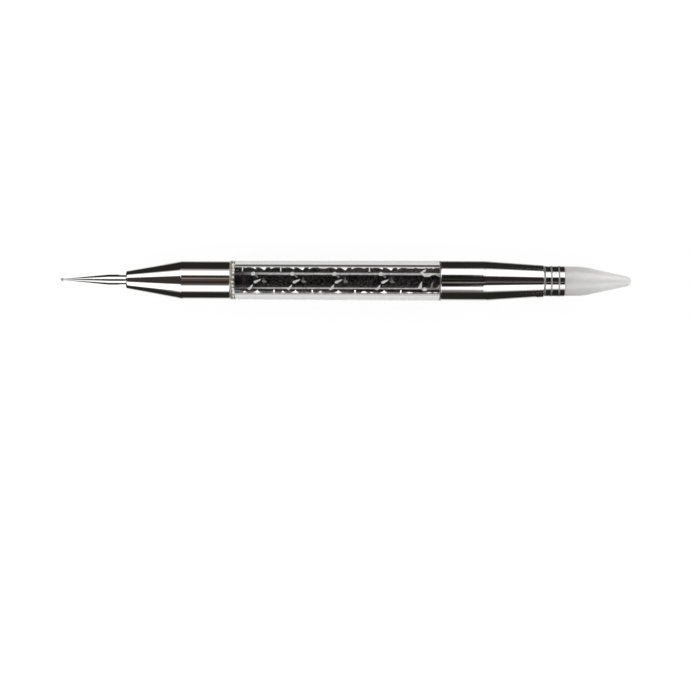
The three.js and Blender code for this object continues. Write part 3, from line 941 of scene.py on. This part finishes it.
# Black cards on the table: name, first and last x, how near they come on the left and the right
LOW_CARDS = [
    ("needle", -STAGE_END, -64, 4, 2.5),
    ("cone", -64, -46, 12.4, 10.6),
    ("front", -46, 0, 12.4, 12.2),
    ("rear", 0, 40, 12.2, 14),
    ("taper", 40, 54, 12, 12.2),
    ("collar", 54, 100, 11.5, 9.4),
]
# First and last x of each zone of the softboxes' reflections. The chromed cylinders reflect what
# is straight above them; cones reflect what is further out.
ZONES = {
    "cone": (-STAGE_END, -157),
    "needle": (-157, -75),
    "front": (-75, 0),
    "rear": (0, 53),
    "collar": (53, 85),
    "taper": (85, STAGE_END),
}
REAR_RIGHT = [(-23.5, 0), (-31.5, 1), (-51.6, 1), (-74.3, 0)]
# Softboxes as the tool reflects them: zone, strength, (angle, level) pairs left and right
GLOWS = [
    ("cone", 1, [(20.5, 0), (29, 1), (50, 1), (68.5, 0)],
     [(-25, 0), (-34, 1), (-70, 1), (-80.4, 0)]),
    ("needle", 1, [(8, 0), (20, 1), (55, 1), (72, 0)],
     [(-25, 0), (-40, 1), (-66, 1), (-90, 0)]),
    ("front", 1, [(23.4, 0), (32, 1), (42, 1), (73.5, 0)],
     [(-20, 0), (-25, 0.05), (-29.5, 0.06), (-42, 1), (-63.7, 1), (-82.6, 0)]),
    ("rear", 1, [(30.5, 0), (38.5, 1), (60, 1), (78.5, 0)],
     [(-31.5, 0), (-40.5, 1), (-47, 1), (-56, 0.22), (-68, 0.07), (-76, 0)]),
    ("collar", 0.8, [(23.2, 0), (31.2, 1), (60, 1), (78, 0)], REAR_RIGHT),
    ("taper", 1, [(23.2, 0), (31.2, 1), (62, 1), (79.5, 0)], REAR_RIGHT),
]
# Fainter streaks between the softboxes: name, which begins with the zone, and (angle, level) pairs
STREAKS = [
    ("front", [(2, 0), (5, 1), (10, 1), (13.5, 0)]),
    ("front_low", [(3, 0), (-1, 0.2), (-5.5, 0.2), (-10, 0)]),
    ("rear", [(-7, 0), (-10.2, 1.6), (-12.4, 1.6), (-15.6, 0)]),
    ("rear_faint", [(5, 0), (7.5, 0.2), (10.5, 0)]),
    ("collar", [(-6, 0), (-9, 0.9), (-11.5, 0.9), (-15, 0)]),
    ("taper", [(-3.5, 0), (-7, 0.5), (-10, 0.5), (-14, 0)]),
    ("taper_low", [(2.5, 0), (-0.5, 0.12), (-4, 0.12), (-7, 0)]),
]


def bare_material(name):
    made = material(name)
    made.node_tree.nodes.clear()
    return made


def surfaced(made, shader):
    """Puts a shader into the material's output."""
    new_node(made, "ShaderNodeOutputMaterial", {}, {"Surface": shader.outputs[0]})
    return made


def paper():
    """Plain diffuse for light that falls on it, and near white where it is seen, with a faint
    shadow."""
    made = bare_material("white_paper")
    path = new_node(made, "ShaderNodeLightPath").outputs
    lit = new_node(made, "ShaderNodeBsdfDiffuse", {"Color": (0.8, 0.8, 0.8, 1)})
    thin = new_node(made, "ShaderNodeBsdfDiffuse", {"Color": (0.12, 0.12, 0.12, 1)})
    level = ranged(made, path["Is Transmission Ray"], FLOOR_SEEN, FLOOR_SEEN_THROUGH, 0, 1)
    glow = new_node(made, "ShaderNodeEmission", {"Color": (1, 1, 1, 1)}, {"Strength": level})
    both = new_node(made, "ShaderNodeAddShader", {}, {0: thin.outputs[0], 1: glow.outputs[0]})
    seen = path["Is Camera Ray"]
    for ray in ("Is Glossy Ray", "Is Transmission Ray"):
        either = new_node(made, "ShaderNodeMath", {}, {0: seen, 1: path[ray]})
        either.operation = "MAXIMUM"
        seen = either.outputs[0]
    links = {0: seen, 1: lit.outputs[0], 2: both.outputs[0]}
    return surfaced(made, new_node(made, "ShaderNodeMixShader", {}, links))


def glow_material(name, level):
    """An even glow."""
    made = bare_material(name)
    return surfaced(made, new_node(made, "ShaderNodeEmission", {"Color": (*level, 1)}))


def fading_material(name, colour):
    """A glow that follows the card's own glow attribute, from 0 to 1."""
    made = bare_material(name)
    light = new_node(made, "ShaderNodeEmission", {"Color": (*colour, 1)})
    glow = new_node(made, "ShaderNodeAttribute")
    glow.attribute_name = "glow"
    clear = new_node(made, "ShaderNodeBsdfTransparent")
    links = {0: glow.outputs["Fac"], 1: clear.outputs[0], 2: light.outputs[0]}
    return surfaced(made, new_node(made, "ShaderNodeMixShader", {}, links))


def stage_mesh(name, corners, surface, faces=((0, 1, 2, 3),)):
    """A mesh of the stage, from corners in millimetres; one flat card if no faces are given."""
    mesh = bpy.data.meshes.new(name)
    mesh.from_pydata([tuple(c * MM for c in corner) for corner in corners], [], faces)
    mesh.materials.append(surface)
    made = added(name, mesh)
    return made


def studio_card(card, reflected=True, refracted=True):
    """A card that shows in reflections, or through the clear tube, and blocks no light or view."""
    card.visible_camera = False
    card.visible_diffuse = False
    card.visible_glossy = reflected
    card.visible_transmission = refracted
    card.visible_volume_scatter = False
    card.visible_shadow = False


def table_card(name, near, far, lift, surface, x_start, x_end, reflected=True, refracted=False):
    """A card that lies on the table beside the tool."""
    corners = [(x_start, near, lift), (x_end, near, lift), (x_end, far, lift), (x_start, far, lift)]
    studio_card(stage_mesh(name, corners, surface), reflected, refracted)


def bent_sheet(name, angles, radius, x_start, x_end, surface):
    """A sheet bent round the tool's axis through angles from straight up, in degrees; + is towards
    +Y."""
    corners, faces = [], []
    for k, degrees in enumerate(angles):
        angle = math.radians(degrees)
        y, z = radius * math.sin(angle), AXIS_HEIGHT + radius * math.cos(angle)
        corners += [(x_start, y, z), (x_end, y, z)]
        if k:
            n = 2 * k
            faces.append((n - 2, n - 1, n + 1, n))
    return stage_mesh(name, corners, surface, faces)


def arc_card(name, first, last, x_start, x_end, surface):
    """A card bent over the tool between two angles."""
    steps = int(abs(last - first) / 5)
    angles = [first + (last - first) * k / steps for k in range(steps + 1)]
    studio_card(bent_sheet(name, angles, CARD_DISTANCE, x_start, x_end, surface))


def level_at(degrees, levels):
    """The level at an angle, with a smooth step between each two (angle, level) pairs."""
    for (a, low), (b, high) in zip(levels, levels[1:]):
        if min(a, b) <= degrees <= max(a, b):
            t = (degrees - a) / (b - a)
            return low + (high - low) * t * t * (3 - 2 * t)
    return levels[-1][1]


def fading_arc(name, levels, radius, x_start, x_end, colour):
    """A bent card whose glow runs through (angle, level) pairs, for a softbox or a streak with soft
    edges."""
    first, last = levels[0][0], levels[-1][0]
    steps = max(4, int(abs(last - first)))
    angles = [first + (last - first) * k / steps for k in range(steps + 1)]
    card = bent_sheet(name, angles, radius, x_start, x_end, fading_material(name, colour))
    glow = card.data.attributes.new("glow", "FLOAT", "POINT")
    for k, item in enumerate(glow.data):
        item.value = level_at(angles[k // 2], levels)
    studio_card(card)


def softbox(name, first, last, x_start, x_end):
    """A soft lamp that covers the angles from first to last as the tool sees them. It lights and
    isn't seen."""
    middle, half = math.radians((first + last) / 2), math.radians(abs(last - first) / 2)
    width = 2 * LAMP_DISTANCE * math.tan(half) * MM
    length = (x_end - x_start) * MM
    data = bpy.data.lights.new(name, "AREA")
    data.shape = "RECTANGLE"
    data.size = length
    data.size_y = width
    data.energy = LAMP_RADIANCE * math.pi * length * width
    lamp = added(name, data)
    y, z = LAMP_DISTANCE * math.sin(middle), AXIS_HEIGHT + LAMP_DISTANCE * math.cos(middle)
    lamp.location = Vector(((x_start + x_end) / 2, y, z)) * MM
    lamp.rotation_euler = (-middle, 0, 0)
    lamp.visible_camera = False
    lamp.visible_glossy = False
    lamp.visible_transmission = False


def stage():
    """The floor, the cards, the softboxes' reflections and the lamps."""
    half = FLOOR_HALF
    corners = [(-half, -half, 0), (half, -half, 0), (half, half, 0), (-half, half, 0)]
    stage_mesh("floor", corners, paper())
    black = glow_material("black_card", (0.021, 0.0205, 0.017))
    brown = glow_material("brown_card", (0.042, 0.023, 0.018))
    neutral = glow_material("neutral_card", (0.041, 0.0355, 0.0315))
    deep = glow_material("deep_card", (0.0123, 0.0125, 0.0104))
    less_deep = glow_material("less_deep_card", (0.0216, 0.0193, 0.0182))
    half_dark = glow_material("half_dark_card", (0.4, 0.4, 0.39))
    mid_grey = glow_material("mid_grey_card", (0.5, 0.495, 0.49))
    dark_grey = glow_material("dark_grey_card", (0.09, 0.088, 0.076))
    tunnel, top, side, far = CARD_DISTANCE, TOP_CARD_ANGLE, SIDE_CARD_ANGLE, STAGE_END
    tool_end = 80
    arc_card("card_above_cone", -top, top, -far, -tool_end, neutral)
    arc_card("card_above_front", -top, top, -tool_end, 0, brown)
    arc_card("card_above_rear", -top, top, 0, tool_end, deep)
    arc_card("card_above_taper", -top, top, tool_end, far, less_deep)
    arc_card("card_left", top, side, -far, far, black)
    arc_card("card_right", -top, -side, -far, far, black)
    for name, x, surface in (("card_end_front", -far, black), ("card_end_rear", far, mid_grey)):
        corners = [(x, -tunnel, 1), (x, tunnel, 1), (x, tunnel, tunnel), (x, -tunnel, tunnel)]
        studio_card(stage_mesh(name, corners, surface), True, False)
    lift = LOW_CARD_LIFT
    for name, x_start, x_end, left, right in LOW_CARDS:
        for which, near, sign in (("left", left, 1), ("right", right, -1)):
            card, ends = f"low_{name}_{which}", (x_start, x_end)
            table_card(card, sign * near, sign * tunnel, lift, black, *ends)
            edge = sign * (near - LOW_CARD_EDGE)
            table_card(f"{card}_edge", edge, sign * near, lift, half_dark, *ends)
    # Painted shade in the clear tube's edges: cards on the table, dark grey on the +Y side and mid
    # grey on the -Y side, seen only through the tube
    for which, near, reach, surface in ("left", 10.7, 60, dark_grey), ("right", -13, -60, mid_grey):
        card = f"card_seen_through_{which}"
        table_card(card, near, reach, SEEN_THROUGH_LIFT, surface, -far, far, False, True)
    for name, levels in STREAKS:
        zone = ZONES[name.split("_")[0]]
        fading_arc(f"streak_{name}", levels, STREAK_DISTANCE, *zone, STREAK_COLOUR)
    for name, strength, left, right in GLOWS:
        white = (LAMP_RADIANCE * strength,) * 3
        for which, levels in (("left", left), ("right", right)):
            fading_arc(f"glow_{name}_{which}", levels, LAMP_DISTANCE, *ZONES[name], white)
    for lamp in SOFTBOXES:
        softbox(*lamp)


def world():
    """White where it is seen, and dimmer for the light that falls on surfaces."""
    made = bpy.data.worlds.new("studio")
    bpy.context.scene.world = made
    made.use_nodes = True
    path = new_node(made, "ShaderNodeLightPath")
    strength = ranged(made, path.outputs["Is Diffuse Ray"], 1.0, WORLD_LEVEL, 0, 1)
    background = made.node_tree.nodes["Background"]
    fill(made, background, {"Color": (1, 1, 1, 1)}, {"Strength": strength})


stage()
world()


# Camera

# The photograph's scale, and where the tool lies in its frame
FRAME_PIXELS = 700
MM_PER_PIXEL = 0.28
TOOL_MIDDLE_PIXEL = (346.0, 280.4)
TOOL_SLOPE = math.radians(0.195)
CAMERA_LENS = 200
CAMERA_SENSOR = 36
# In metres
CLIP_START, CLIP_END = 0.01, 20


def camera():
    """Straight above the table, turned and shifted so that the tool lies as in the photograph."""
    data = bpy.data.cameras.new("camera")
    data.lens = CAMERA_LENS
    data.sensor_width = CAMERA_SENSOR
    data.clip_start = CLIP_START
    data.clip_end = CLIP_END
    made = added("camera", data)
    middle = FRAME_PIXELS / 2
    distance = FRAME_PIXELS * MM_PER_PIXEL * CAMERA_LENS / CAMERA_SENSOR
    right = (middle - TOOL_MIDDLE_PIXEL[0]) * MM_PER_PIXEL
    down = (middle - TOOL_MIDDLE_PIXEL[1]) * MM_PER_PIXEL
    tool_middle = Vector((0, 0, AXIS_HEIGHT))
    made.rotation_euler = (0, 0, TOOL_SLOPE)
    offset = Matrix.Rotation(TOOL_SLOPE, 3, "Z") @ Vector((right, -down, distance))
    made.location = (tool_middle + offset) * MM
    bpy.context.scene.camera = made


camera()
bpy.context.scene.view_settings.view_transform = "Standard"
